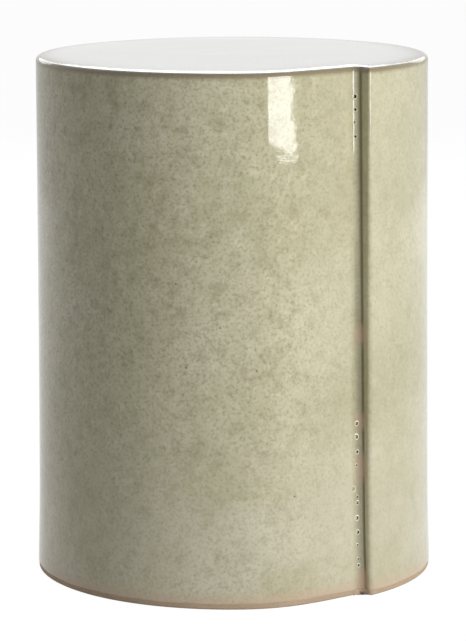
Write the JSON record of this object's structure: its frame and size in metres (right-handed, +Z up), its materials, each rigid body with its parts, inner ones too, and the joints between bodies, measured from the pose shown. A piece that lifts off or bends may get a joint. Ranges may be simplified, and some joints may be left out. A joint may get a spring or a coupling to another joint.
{
  "type": "ceramic garden stool",
  "caption": "Round slab-built glazed stoneware stool, a hollow drum open below, with a flat seat and a straight lapped seam down the wall.",
  "frame": {"origin": "centre of the foot on the floor, under the middle of the round wall", "axes": "+Z up along the wall, -Y towards the front, so that the lapped seam runs down the wall between -Y and +X"},
  "size_m": [0.3451, 0.3452, 0.45],
  "materials": {
    "glaze": "glossy",
    "bare_clay": "matte"
  },
  "bodies": {
    "root": {"wall_slab": "glaze", "seat_slab": "glaze", "seam_coil": "glaze", "lap_coil": "bare_clay", "seat_coil": "bare_clay"}
  },
  "joints": []
}
